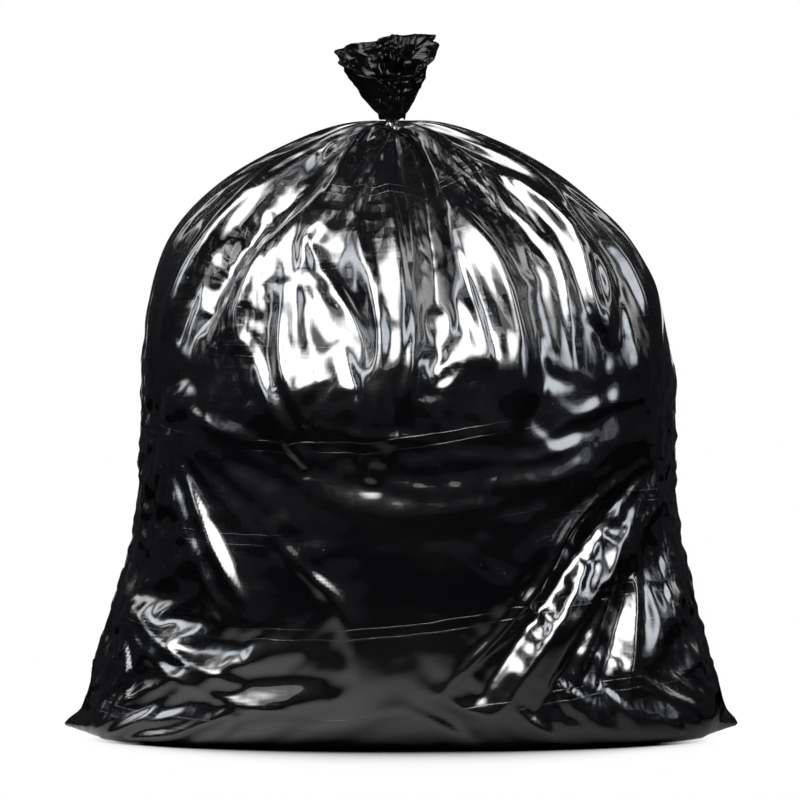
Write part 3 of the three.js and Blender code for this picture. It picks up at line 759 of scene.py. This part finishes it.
PAIR_HALF = 0.0052  # half the distance between the two creases of a pair
CREASE_HALF = 0.0011


def packing_crease_group():
    """Pairs of fine level creases, left by the film's folding when it was packed."""
    group, given, result = new_group(
        "packing_creases",
        (("Place", "NodeSocketVector", None), ("Spacing", "NodeSocketFloat", 0.1),
         ("Depth", "NodeSocketFloat", 0.0002)), (("Height", "NodeSocketFloat"),))
    parts = group.nodes.new("ShaderNodeSeparateXYZ")
    feed(group, parts.inputs[0], given["Place"])
    sag = noise(group, given["Place"], 1.6, 0.4, 1.0)
    level = sum_node(group, "ADD", parts.outputs["Y"], sum_node(group, "MULTIPLY", sag, 0.16))
    wobble = noise(group, given["Place"], 30, 30, 1.0)
    level = sum_node(group, "ADD", level, sum_node(group, "MULTIPLY", wobble, 0.0035))
    share = sum_node(group, "FRACT", sum_node(group, "DIVIDE", level, given["Spacing"]))
    far = sum_node(group, "ABSOLUTE", sum_node(group, "SUBTRACT", share, 0.5))
    far = sum_node(group, "MULTIPLY", far, given["Spacing"])
    pair = sum_node(group, "ABSOLUTE", sum_node(group, "SUBTRACT", far, PAIR_HALF))
    ridge = rise_between(group, pair, CREASE_HALF, 0.0)
    worn = rise_between(group, noise(group, given["Place"], 5, 16, 2.0), 0.38, 0.54)
    feed(group, result["Height"], all_nodes(group, "MULTIPLY", ridge, worn, given["Depth"]))
    return group


def film_streak_group():
    """Fine level streaks from the blowing of the film, and a fainter waviness up and down."""
    group, given, result = new_group(
        "film_streaks", (("Place", "NodeSocketVector", None), ("Depth", "NodeSocketFloat", 0.00002)),
        (("Height", "NodeSocketFloat"),))
    level = noise(group, given["Place"], 26, 420, 3.0, 0.6)
    upright = noise(group, given["Place"], 150, 12, 2.0, 0.5)
    patch = rise_between(group, noise(group, given["Place"], 5, 9, 2.0), 0.42, 0.62)
    height = sum_node(group, "ADD", sum_node(group, "MULTIPLY", level, patch),
                      sum_node(group, "MULTIPLY", upright, 0.8))
    feed(group, result["Height"], sum_node(group, "MULTIPLY", height, given["Depth"]))
    return group


def film_crinkle_group():
    """Small sharp crinkles in patches, as thin film takes on when it is handled."""
    group, given, result = new_group(
        "film_crinkles", (("Place", "NodeSocketVector", None), ("Depth", "NodeSocketFloat", 0.0001)),
        (("Height", "NodeSocketFloat"),))
    bent = noise(group, given["Place"], 22, 16, 2.0)
    heights = []
    for across, up, size in ((70, 34, 1.0), (30, 95, 0.6), (150, 110, 0.35)):
        value = noise(group, given["Place"], across, up, 2.0, 0.55, 0.8)
        ridge = sum_node(group, "ABSOLUTE", sum_node(group, "SUBTRACT", value, 0.5))
        heights.append(sum_node(group, "MULTIPLY", ridge, -2 * size))
    total = all_nodes(group, "ADD", *heights)
    patch = rise_between(group, bent, 0.38, 0.66, 0.12, 1.0)
    feed(group, result["Height"], all_nodes(group, "MULTIPLY", total, patch, given["Depth"]))
    return group


def film_facet_group():
    """Flat facets with straight sharp edges, longer up the film than across, in patches."""
    group, given, result = new_group(
        "film_facets", (("Place", "NodeSocketVector", None), ("Depth", "NodeSocketFloat", 0.001)),
        (("Height", "NodeSocketFloat"),))
    heights = []
    for across, up, size in ((24, 7, 1.0), (64, 24, 0.4), (13, 46, 0.25)):
        cells = group.nodes.new("ShaderNodeTexVoronoi")
        cells.voronoi_dimensions = "2D"
        cells.feature = "DISTANCE_TO_EDGE"
        cells.inputs["Scale"].default_value = 1
        feed(group, cells.inputs["Vector"], scaled(group, given["Place"], across, up))
        heights.append(sum_node(group, "MULTIPLY", cells.outputs["Distance"], -size))
    total = all_nodes(group, "ADD", *heights)
    patch = rise_between(group, noise(group, given["Place"], 9, 7, 2.0), 0.36, 0.6, 0.25, 1.0)
    feed(group, result["Height"], all_nodes(group, "MULTIPLY", total, patch, given["Depth"]))
    return group


DUST_CELLS = 90
SPECK_EDGE = (0.075, 0.03)


def dust_group():
    """Scattered specks of dust: a mask that is one on a speck."""
    group, given, result = new_group(
        "dust_specks", (("Place", "NodeSocketVector", None), ("Amount", "NodeSocketFloat", 0.3)),
        (("Mask", "NodeSocketFloat"),))
    cells = group.nodes.new("ShaderNodeTexVoronoi")
    feed(group, cells.inputs["Vector"], given["Place"])
    cells.inputs["Scale"].default_value = DUST_CELLS
    shade = group.nodes.new("ShaderNodeSeparateColor")
    feed(group, shade.inputs[0], cells.outputs["Color"])
    speck = rise_between(group, cells.outputs["Distance"], *SPECK_EDGE)
    chosen = sum_node(group, "LESS_THAN", shade.outputs[0], given["Amount"])
    where = rise_between(group, noise(group, given["Place"], 4, 4, 2.0), 0.45, 0.6)
    feed(group, result["Mask"], all_nodes(group, "MULTIPLY", speck, chosen, where))
    return group


PACKING_CREASES = packing_crease_group()
FILM_STREAKS = film_streak_group()
FILM_CRINKLES = film_crinkle_group()
FILM_FACETS = film_facet_group()
DUST_SPECKS = dust_group()


def shader_of(name):
    """A new material: itself, its node tree and its shader."""
    material = bpy.data.materials.new(name)
    material.use_nodes = True
    return material, material.node_tree, material.node_tree.nodes["Principled BSDF"]


def shade_mix(tree, share, first, second):
    """A mix of two colours."""
    node = tree.nodes.new("ShaderNodeMix")
    node.data_type = "RGBA"
    feed(tree, node.inputs["Factor"], share)
    node.inputs["A"].default_value = first
    node.inputs["B"].default_value = second
    return node.outputs["Result"]


SMEAR_EDGE = (0.35, 0.7)
DUST_ROUGHNESS = 0.4


def finish_surface(tree, shader, place, heights, dust, tones, roughness):
    """Joins a material's bumps, dust and tones to its shader."""
    bump = tree.nodes.new("ShaderNodeBump")
    bump.inputs["Strength"].default_value = 1
    bump.inputs["Distance"].default_value = 1
    feed(tree, bump.inputs["Height"], all_nodes(tree, "ADD", *heights))
    feed(tree, shader.inputs["Normal"], bump.outputs["Normal"])
    feed(tree, shader.inputs["Base Color"], shade_mix(tree, dust, *tones))
    cloud = noise(tree, place, 9, 14, 3.0)
    smear = rise_between(tree, cloud, *SMEAR_EDGE, *roughness)
    feed(tree, shader.inputs["Roughness"],
         sum_node(tree, "ADD", smear, sum_node(tree, "MULTIPLY", dust, DUST_ROUGHNESS), clamp=True))


# The film's facets fade to a small share in the low middle, where it is taut and smooth: the
# heights and the distances aside between which they come up, and the two shares.
SLACK_ABOVE = (0.3, 0.42, 0.22, 1.0)
SLACK_ASIDE = (0.16, 0.26, 0.22, 1.0)
FILM_BLACK = (0.0011, 0.0011, 0.0014, 1)
FILM_DUST = (0.05, 0.05, 0.05, 1)
FILM_IOR = 1.52
COAT_ROUGHNESS = 0.035
COAT_IOR = 2


def film_material(name, crinkle_depth, facet_depth, roughness, gloss, shine):
    """Glossy black film with packing creases, streaks, crinkles and a little dust."""
    material, tree, shader = shader_of(name)
    uv = tree.nodes.new("ShaderNodeUVMap")
    uv.uv_map = "film_place"
    place = uv.outputs["UV"]
    creases = put_group(tree, PACKING_CREASES, place=place, spacing=0.092, depth=0.0003)
    streaks = put_group(tree, FILM_STREAKS, place=place, depth=0.00005)
    crinkles = put_group(tree, FILM_CRINKLES, place=place, depth=crinkle_depth)
    spot = tree.nodes.new("ShaderNodeSeparateXYZ")
    feed(tree, spot.inputs[0], tree.nodes.new("ShaderNodeTexCoord").outputs["Object"])
    slack = sum_node(tree, "MAXIMUM", rise_between(tree, spot.outputs["Z"], *SLACK_ABOVE),
                     rise_between(tree, sum_node(tree, "ABSOLUTE", spot.outputs["X"]), *SLACK_ASIDE))
    slack = sum_node(tree, "MULTIPLY", slack, facet_depth)
    facets = put_group(tree, FILM_FACETS, place=place, depth=slack)
    dust = put_group(tree, DUST_SPECKS, place=place, amount=0.22)
    finish_surface(tree, shader, place,
                   (creases["Height"], streaks["Height"], crinkles["Height"], facets["Height"]),
                   dust["Mask"], (FILM_BLACK, FILM_DUST), roughness)
    for socket, value in (("IOR", FILM_IOR), ("Specular IOR Level", shine), ("Coat Weight", gloss),
                          ("Coat Roughness", COAT_ROUGHNESS), ("Coat IOR", COAT_IOR)):
        shader.inputs[socket].default_value = value
    return material


TIE_BLACK = (0.012, 0.012, 0.014, 1)
TIE_DUST = (0.09, 0.09, 0.09, 1)
TIE_ROUGHNESS = (0.34, 0.5)


def tie_material():
    """A satin black band, finely crinkled where it is pulled tight."""
    material, tree, shader = shader_of("tie_band")
    place = tree.nodes.new("ShaderNodeTexCoord").outputs["Object"]
    streaks = put_group(tree, FILM_STREAKS, place=place, depth=0.00003)
    crinkles = put_group(tree, FILM_CRINKLES, place=place, depth=0.0001)
    dust = put_group(tree, DUST_SPECKS, place=place, amount=0.1)
    finish_surface(tree, shader, place, (streaks["Height"], crinkles["Height"]), dust["Mask"],
                   (TIE_BLACK, TIE_DUST), TIE_ROUGHNESS)
    return material


# The pieces.
def bag_piece(name, grid, film_wide, film_up, material, **caps):
    """A piece of the bag's film that stands for the bag's solid."""
    piece = grid_piece(name, grid, film_wide, film_up, **caps)
    piece.data.materials.append(material)
    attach(piece, "root")
    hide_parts("bag")
    return piece


FILM = film_material("smooth_film", crinkle_depth=0.0004, facet_depth=0.008,
                     roughness=(0.17, 0.3), gloss=0.85, shine=0.36)
TUFT_FILM = film_material("crumpled_film", crinkle_depth=0.0005, facet_depth=0.002,
                          roughness=(0.08, 0.16), gloss=0, shine=0.13)
film = settled_film()
bag_film = bag_piece("bag_film", film, 2 * FLAT_WIDTH, along(film, 0).mean(1), FILM,
                     cap_first=True, cap_last=True)
tuft = tuft_form()
TUFT_FILM_WIDE = 0.36
bag_piece("tuft_film", tuft, TUFT_FILM_WIDE, along(tuft, 0).mean(1), TUFT_FILM, cap_last=True)
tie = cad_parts["neck_tie"]
tie.data.materials.clear()
tie.data.materials.append(tie_material())


# The room: a white floor, a dark studio with large soft lights, and a white background.
MIDDLE = Vector((0, 0, 0.35))
LIGHT_DISTANCE = 2.6
# Each light's bearing from the front, to the right, its lift in degrees, its width, its height and
# its radiance. They are brighter in the middle than at the edge, and two are a little cooler.
LIGHTS = {
    "front_light": (-10, 42, 3.7, 2.8, 5.8),
    "left_front_light": (-70, 26, 1.2, 2.0, 2.4),
    "right_front_light": (58, 24, 1.3, 2.2, 2.2),
    "left_light": (-98, 30, 0.9, 1.8, 1.5),
    "right_light": (98, 30, 0.9, 1.8, 1.1),
    "back_left_light": (-140, 36, 0.35, 1.6, 1.3),
    "back_middle_light": (178, 40, 0.5, 1.6, 0.9),
    "back_right_light": (140, 36, 0.35, 1.6, 0.9),
}
COOL_LIGHTS = ("left_front_light", "right_front_light")
COOL_TINT = (0.9, 0.945, 1.0)
HOT_MIDDLE = 2.3
DIM_EDGE = 0.15
EDGE_SQUARE = 0.25  # the square of half a light's width


def soft_light(name, bearing, lift, width, height, radiance):
    """A soft light of a given size and radiance, aimed at the middle of the bag."""
    lamp = bpy.data.lights.new(name, "AREA")
    lamp.shape = "RECTANGLE"
    lamp.size = width
    lamp.size_y = height
    lamp.energy = radiance * width * height * math.pi
    if name in COOL_LIGHTS:
        lamp.color = COOL_TINT
    lamp.use_nodes = True
    tree = lamp.node_tree
    spot = tree.nodes.new("ShaderNodeSeparateXYZ")
    feed(tree, spot.inputs[0], tree.nodes.new("ShaderNodeNewGeometry").outputs["Parametric"])
    off = [sum_node(tree, "POWER", sum_node(tree, "SUBTRACT", spot.outputs[axis], 0.5), 2)
           for axis in ("X", "Y")]
    level = rise_between(tree, sum_node(tree, "ADD", *off), 0.0, EDGE_SQUARE, HOT_MIDDLE, DIM_EDGE)
    feed(tree, tree.nodes["Emission"].inputs["Strength"], level)
    lit = bpy.data.objects.new(name, lamp)
    bpy.context.scene.collection.objects.link(lit)
    turn, lift = math.radians(bearing), math.radians(lift)
    toward = Vector((math.sin(turn) * math.cos(lift), -math.cos(turn) * math.cos(lift), math.sin(lift)))
    lit.location = MIDDLE + LIGHT_DISTANCE * toward
    lit.rotation_euler = toward.to_track_quat("Z", "Y").to_euler()


for light, facts in LIGHTS.items():
    soft_light(light, *facts)


def white_rays(tree, behind):
    """One for rays from the camera, and for mirrored and bent rays where behind is one."""
    rays = tree.nodes.new("ShaderNodeLightPath")
    bounced = sum_node(tree, "ADD", rays.outputs["Is Glossy Ray"], rays.outputs["Is Transmission Ray"])
    bounced = sum_node(tree, "MULTIPLY", bounced, behind)
    return sum_node(tree, "ADD", rays.outputs["Is Camera Ray"], bounced, clamp=True)


# The white backdrop hangs behind the bag. The rest of the studio is dark.
BACKDROP_EDGE = (0.972, 0.985)
STUDIO_DARK = (0.02, 0.0205, 0.023, 1)
world = bpy.data.worlds.new("studio")
bpy.context.scene.world = world
world.use_nodes = True
tree = world.node_tree
tree.nodes.clear()
direction = tree.nodes.new("ShaderNodeSeparateXYZ")
feed(tree, direction.inputs[0], tree.nodes.new("ShaderNodeTexCoord").outputs["Generated"])
behind = rise_between(tree, direction.outputs["Y"], *BACKDROP_EDGE)
white = tree.nodes.new("ShaderNodeBackground")
white.inputs["Color"].default_value = (1, 1, 1, 1)
dark = tree.nodes.new("ShaderNodeBackground")
dark.inputs["Color"].default_value = STUDIO_DARK
mix = tree.nodes.new("ShaderNodeMixShader")
feed(tree, mix.inputs["Fac"], white_rays(tree, behind))
feed(tree, mix.inputs[1], dark.outputs[0])
feed(tree, mix.inputs[2], white.outputs[0])
feed(tree, tree.nodes.new("ShaderNodeOutputWorld").inputs["Surface"], mix.outputs[0])

# The floor is white, and darkens only in the bag's own contact shadow, a painted shadow: the glow that the
# camera sees dims with the bag's ambient occlusion. The film mirrors it near the bag, and more to the left
# than to the right, a painted
# reflection: mirrored rays see its glow only there. The shadow ends at the bag's two low corners.
FLOOR_RADIUS = 1.6
SEEN_FLOOR = (0.22, 0.52)
SEEN_FLOOR_SIDES = (-0.3, 0.35, 0.7, 0.22)
SHADOW_REACH = 0.3
SHADOW_LEVELS = (0.36, 0.72)
SHADOW_SIDES = (0.25, 0.315)
SHADOW_SHARPNESS = 1.1
FLOOR_WHITE = (0.85, 0.85, 0.85, 1)
FLOOR_ROUGHNESS = 0.9
bpy.ops.mesh.primitive_circle_add(vertices=96, radius=FLOOR_RADIUS, fill_type="NGON")
floor = bpy.context.object
floor.name = "floor"
paint, tree, shader = shader_of("white_floor")
shader.inputs["Base Color"].default_value = FLOOR_WHITE
shader.inputs["Roughness"].default_value = FLOOR_ROUGHNESS
# Painted contact shadow: the floor's glow is dimmed by ambient occlusion, not by the lamps.
shadow = tree.nodes.new("ShaderNodeAmbientOcclusion")
shadow.inputs["Distance"].default_value = SHADOW_REACH
open_share = rise_between(tree, shadow.outputs["AO"], *SHADOW_LEVELS)
place = tree.nodes.new("ShaderNodeSeparateXYZ")
feed(tree, place.inputs[0], tree.nodes.new("ShaderNodeTexCoord").outputs["Object"])
aside = rise_between(tree, sum_node(tree, "ABSOLUTE", place.outputs["X"]), *SHADOW_SIDES)
open_share = sum_node(tree, "MAXIMUM", open_share, aside)
level = sum_node(tree, "POWER", open_share, SHADOW_SHARPNESS)
# Painted reflection of the floor: mirrored rays see its glow only near the bag, and more to the left than
# to the right, and see no glow elsewhere.
squares = [sum_node(tree, "POWER", place.outputs[axis], 2) for axis in ("X", "Y")]
off = sum_node(tree, "SQRT", sum_node(tree, "ADD", *squares))
far_share = rise_between(tree, off, *SEEN_FLOOR, 1.0, 0.0)
side_share = rise_between(tree, place.outputs["X"], *SEEN_FLOOR_SIDES)
seen = sum_node(tree, "MULTIPLY", far_share, side_share)
mirrored = tree.nodes.new("ShaderNodeLightPath").outputs["Is Glossy Ray"]
unseen = sum_node(tree, "MULTIPLY", mirrored, sum_node(tree, "SUBTRACT", 1.0, seen))
kept = sum_node(tree, "SUBTRACT", 1.0, unseen)
glow = tree.nodes.new("ShaderNodeEmission")
feed(tree, glow.inputs["Strength"], sum_node(tree, "MULTIPLY", level, kept))
mix = tree.nodes.new("ShaderNodeMixShader")
feed(tree, mix.inputs["Fac"], white_rays(tree, 1.0))
feed(tree, mix.inputs[1], shader.outputs[0])
feed(tree, mix.inputs[2], glow.outputs[0])
feed(tree, tree.nodes["Material Output"].inputs["Surface"], mix.outputs[0])
floor.data.materials.append(paint)

# The camera, low and far off, as the photograph was taken.
CAMERA_LIFT = math.radians(3.5)
CAMERA_DISTANCE = 5.0
FIELD_WIDTH = 0.8
LOOK_AT = Vector((-0.0005, 0, 0.3335))
SENSOR = 36
camera_data = bpy.data.cameras.new("camera")
camera_data.sensor_width = SENSOR
camera_data.lens = SENSOR * CAMERA_DISTANCE / FIELD_WIDTH
camera = bpy.data.objects.new("camera", camera_data)
bpy.context.scene.collection.objects.link(camera)
camera.location = LOOK_AT + CAMERA_DISTANCE * Vector((0, -math.cos(CAMERA_LIFT), math.sin(CAMERA_LIFT)))
camera.rotation_euler = (math.pi / 2 - CAMERA_LIFT, 0, 0)
bpy.context.scene.camera = camera
bpy.context.scene.view_settings.view_transform = "Standard"
